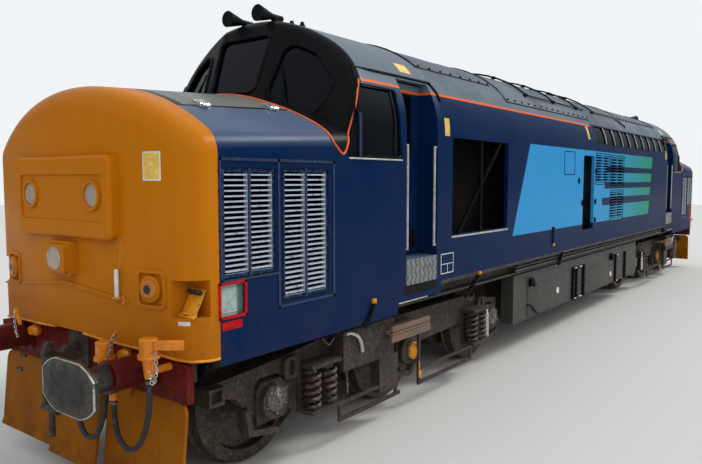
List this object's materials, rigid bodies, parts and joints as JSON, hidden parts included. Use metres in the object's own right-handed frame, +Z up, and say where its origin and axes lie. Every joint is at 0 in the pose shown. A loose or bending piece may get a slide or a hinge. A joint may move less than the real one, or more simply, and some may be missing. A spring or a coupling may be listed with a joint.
{
  "type": "diesel locomotive",
  "caption": "Nose-ended diesel locomotive on six-wheel bogies, with hollow cabs, opening doors, a roof fan, buffers and hose couplings",
  "frame": {"origin": "centre of the overall box at the height of the wheel flanges' lowest points", "axes": "+X runs along the locomotive to its front end, +Y to its left side, +Z up"},
  "size_m": [18.745, 2.708, 4.1147],
  "materials": {
    "body_navy": "satin",
    "nose_yellow": "satin",
    "roof_grey": "satin",
    "louvre_navy": "satin",
    "chassis_black": "matte",
    "tank_grey": "matte",
    "bogie_black": "matte",
    "spring_steel": "matte",
    "wheel_steel": "matte",
    "buffer_steel": "greasy",
    "beam_red": "matte",
    "plough_yellow": "matte",
    "rail_steel": "satin",
    "step_plate": "satin",
    "lamp_lens": "gloss",
    "glass": "clear",
    "hose_rubber": "matte",
    "radiator_metal": "dull",
    "engine_grey": "satin",
    "seat_cloth": "woven",
    "room_grey": "satin"
  },
  "bodies": {
    "body": {"underframe": "chassis_black", "bufferbeams": "beam_red", "buffers": "buffer_steel", "couplings": "chassis_black", "snowploughs": "plough_yellow", "nose_front": "nose_yellow", "nose_rear": "nose_yellow", "cab_front": "body_navy", "cab_rear": "body_navy", "body_side_left": "body_navy", "body_side_right": "body_navy", "cantrails": "body_navy", "roof": "roof_grey", "bulkheads": "room_grey", "cab_fittings_front": "room_grey", "cab_fittings_rear": "room_grey", "cab_seats": "seat_cloth", "cab_glass": "glass", "cantrail_glass": "glass", "nose_louvres": "louvre_navy", "side_louvres": "louvre_navy", "radiators": "radiator_metal", "fan_cowl": "roof_grey", "engine": "engine_grey", "tanks": "tank_grey", "handrails": "rail_steel", "door_steps": "step_plate", "horns": "roof_grey", "lamps": "lamp_lens", "hose_cocks": "chassis_black", "hose_front_outer": "hose_rubber", "hose_front_inner": "hose_rubber", "hose_rear_outer": "hose_rubber", "hose_rear_inner": "hose_rubber"},
    "bogie_front": {"bogie_front_frame": "bogie_black", "bogie_front_beams": "bogie_black", "bogie_front_axleboxes": "bogie_black", "bogie_front_springs": "spring_steel", "bogie_front_motors": "bogie_black"},
    "wheelset_front_1": {"wheelset_front_1": "wheel_steel"},
    "wheelset_front_2": {"wheelset_front_2": "wheel_steel"},
    "wheelset_front_3": {"wheelset_front_3": "wheel_steel"},
    "cab_door_front_left": {"cab_door_front_left": "body_navy"},
    "cab_door_front_right": {"cab_door_front_right": "body_navy"},
    "bogie_rear": {"bogie_rear_frame": "bogie_black", "bogie_rear_beams": "bogie_black", "bogie_rear_axleboxes": "bogie_black", "bogie_rear_springs": "spring_steel", "bogie_rear_motors": "bogie_black"},
    "wheelset_rear_1": {"wheelset_rear_1": "wheel_steel"},
    "wheelset_rear_2": {"wheelset_rear_2": "wheel_steel"},
    "wheelset_rear_3": {"wheelset_rear_3": "wheel_steel"},
    "cab_door_rear_left": {"cab_door_rear_left": "body_navy"},
    "cab_door_rear_right": {"cab_door_rear_right": "body_navy"},
    "room_door_left": {"room_door_left": "body_navy"},
    "room_door_right": {"room_door_right": "body_navy"},
    "fan": {"fan": "chassis_black"}
  },
  "joints": [
    {"name": "bogie_front_swivel", "type": "hinge", "parent": "body", "child": "bogie_front", "pos_m": [5.664, 0, 1], "axis": [0, 0, 1], "range_deg": [-4, 4]},
    {"name": "wheelset_front_1_spin", "type": "hinge", "parent": "bogie_front", "child": "wheelset_front_1", "pos_m": [7.7215, 0, 0.6015], "axis": [0, 1, 0], "continuous": true},
    {"name": "wheelset_front_2_spin", "type": "hinge", "parent": "bogie_front", "child": "wheelset_front_2", "pos_m": [5.664, 0, 0.6015], "axis": [0, 1, 0], "continuous": true},
    {"name": "wheelset_front_3_spin", "type": "hinge", "parent": "bogie_front", "child": "wheelset_front_3", "pos_m": [3.6065, 0, 0.6015], "axis": [0, 1, 0], "continuous": true},
    {"name": "bogie_rear_swivel", "type": "hinge", "parent": "body", "child": "bogie_rear", "pos_m": [-5.664, 0, 1], "axis": [0, 0, 1], "range_deg": [-4, 4]},
    {"name": "wheelset_rear_1_spin", "type": "hinge", "parent": "bogie_rear", "child": "wheelset_rear_1", "pos_m": [-7.7215, 0, 0.6015], "axis": [0, 1, 0], "continuous": true},
    {"name": "wheelset_rear_2_spin", "type": "hinge", "parent": "bogie_rear", "child": "wheelset_rear_2", "pos_m": [-5.664, 0, 0.6015], "axis": [0, 1, 0], "continuous": true},
    {"name": "wheelset_rear_3_spin", "type": "hinge", "parent": "bogie_rear", "child": "wheelset_rear_3", "pos_m": [-3.6065, 0, 0.6015], "axis": [0, 1, 0], "continuous": true},
    {"name": "cab_door_front_left_hinge", "type": "hinge", "parent": "body", "child": "cab_door_front_left", "pos_m": [5.445, 1.092, 2.5], "axis": [0, 0, -1], "range_deg": [0, 90]},
    {"name": "cab_door_front_right_hinge", "type": "hinge", "parent": "body", "child": "cab_door_front_right", "pos_m": [5.445, -1.092, 2.5], "axis": [0, 0, 1], "range_deg": [0, 90]},
    {"name": "cab_door_rear_right_hinge", "type": "hinge", "parent": "body", "child": "cab_door_rear_right", "pos_m": [-5.445, -1.092, 2.5], "axis": [0, 0, -1], "range_deg": [0, 90]},
    {"name": "cab_door_rear_left_hinge", "type": "hinge", "parent": "body", "child": "cab_door_rear_left", "pos_m": [-5.445, 1.092, 2.5], "axis": [0, 0, 1], "range_deg": [0, 90]},
    {"name": "room_door_left_hinge", "type": "hinge", "parent": "body", "child": "room_door_left", "pos_m": [0.685, 1.272, 2.2], "axis": [0, 0, -1], "range_deg": [0, 90]},
    {"name": "room_door_right_hinge", "type": "hinge", "parent": "body", "child": "room_door_right", "pos_m": [0.685, -1.272, 2.2], "axis": [0, 0, -1], "range_deg": [0, 90]},
    {"name": "fan_spin", "type": "hinge", "parent": "body", "child": "fan", "pos_m": [4.385, 0, 3.59], "axis": [0, 0, 1], "continuous": true}
  ]
}
